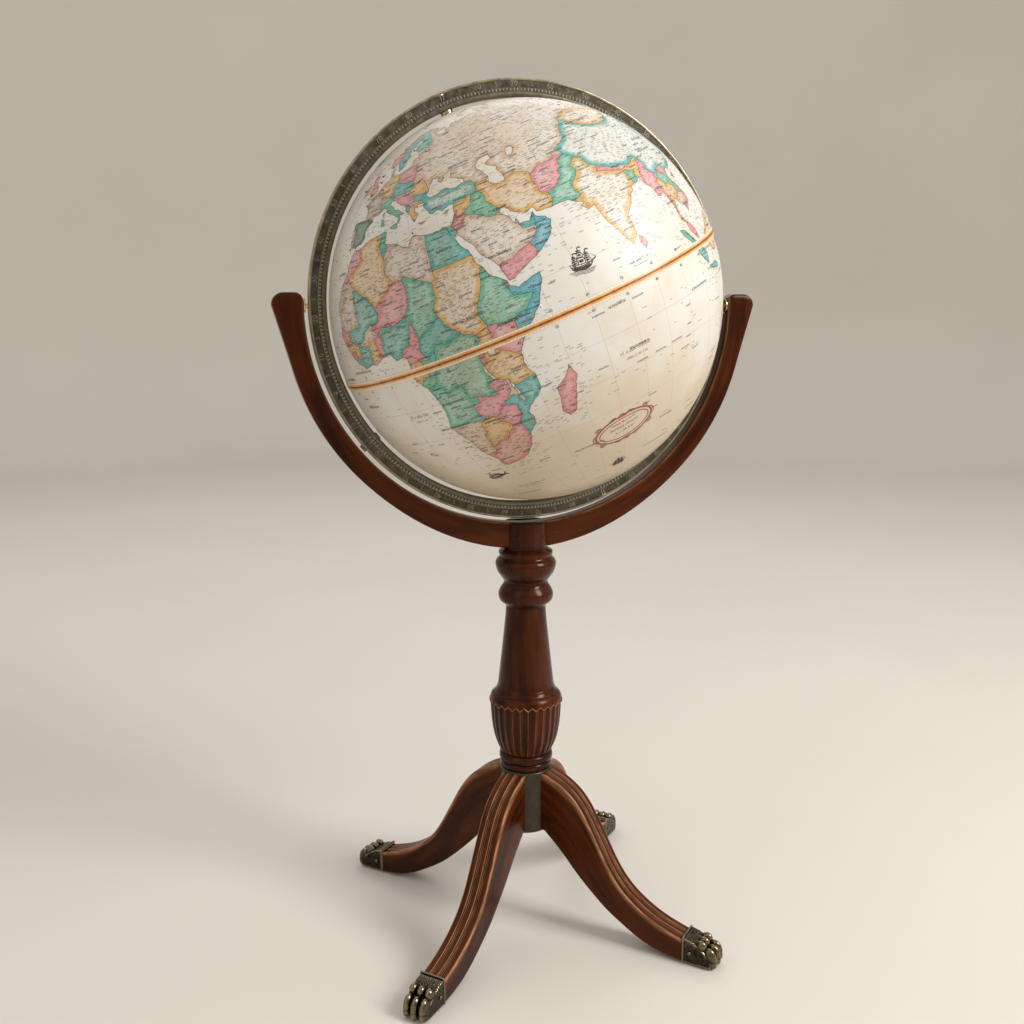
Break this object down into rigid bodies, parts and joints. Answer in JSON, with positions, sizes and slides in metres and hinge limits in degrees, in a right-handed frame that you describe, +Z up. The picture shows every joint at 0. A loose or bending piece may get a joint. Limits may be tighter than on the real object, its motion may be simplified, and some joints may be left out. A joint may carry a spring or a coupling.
{
  "type": "floor globe on pedestal stand",
  "caption": "Library globe that spins in a swinging meridian ring, held by a wooden yoke on a turned column with sabre legs and lion-paw caps.",
  "frame": {"origin": "on the floor under the column's axis", "axes": "+Z up; the yoke and the resting meridian ring lie in the XZ plane, and the north pole leans towards -X"},
  "size_m": [0.521, 0.408, 0.9129],
  "materials": {
    "mahogany": "dark reddish mahogany under gloss lacquer",
    "olive_iron": "dark olive-brown painted metal",
    "aged_bronze": "antique bronze patina, worn bright on the rim",
    "paw_bronze": "antique brass, darkened in the hollows",
    "bright_brass": "satin brass",
    "steel": "plain turned steel",
    "map_paper": "printed parchment map on moulded board, satin varnish",
    "inner_board": "bare board",
    "band_paper": "orange printed equator band",
    "felt": "brown felt"
  },
  "bodies": {
    "stand": {"hub": "olive_iron", "hub_cap": "olive_iron", "leg_back_right": "mahogany", "paw_back_right": "paw_bronze", "leg_bolt_back_right": "steel", "cap_nail_back_right_a": "bright_brass", "cap_nail_back_right_b": "bright_brass", "glide_back_right": "felt", "leg_back_left": "mahogany", "paw_back_left": "paw_bronze", "leg_bolt_back_left": "steel", "cap_nail_back_left_a": "bright_brass", "cap_nail_back_left_b": "bright_brass", "glide_back_left": "felt", "leg_front_left": "mahogany", "paw_front_left": "paw_bronze", "leg_bolt_front_left": "steel", "cap_nail_front_left_a": "bright_brass", "cap_nail_front_left_b": "bright_brass", "glide_front_left": "felt", "leg_front_right": "mahogany", "paw_front_right": "paw_bronze", "leg_bolt_front_right": "steel", "cap_nail_front_right_a": "bright_brass", "cap_nail_front_right_b": "bright_brass", "glide_front_right": "felt", "foot_ring": "mahogany", "urn": "mahogany", "shaft": "mahogany", "column_head": "mahogany", "tie_rod": "steel", "tie_nut": "steel", "tie_washer": "steel", "yoke": "mahogany", "yoke_dowel_left": "mahogany", "yoke_dowel_right": "mahogany", "pivot_bush_left": "bright_brass", "pivot_bush_right": "bright_brass", "pivot_pin_left": "bright_brass", "pivot_pin_right": "bright_brass"},
    "meridian": {"meridian_ring": "aged_bronze", "splice_plate": "aged_bronze", "splice_screw_1": "bright_brass", "splice_screw_2": "bright_brass", "pole_screw_north": "bright_brass", "pole_screw_south": "bright_brass", "pole_washer_north": "bright_brass", "pole_washer_south": "bright_brass"},
    "globe": {"shell_north": "map_paper", "shell_south": "map_paper", "equator_hoop": "inner_board", "equator_tape": "band_paper", "pole_bush_north": "bright_brass", "pole_bush_south": "bright_brass"}
  },
  "joints": [
    {"name": "meridian_swing", "type": "hinge", "parent": "stand", "child": "meridian", "pos_m": [0, 0, 0.688], "axis": [1, 0, 0], "continuous": true},
    {"name": "globe_spin", "type": "hinge", "parent": "meridian", "child": "globe", "pos_m": [0, 0, 0.688], "axis": [-0.3987, 0, 0.9171], "continuous": true}
  ]
}
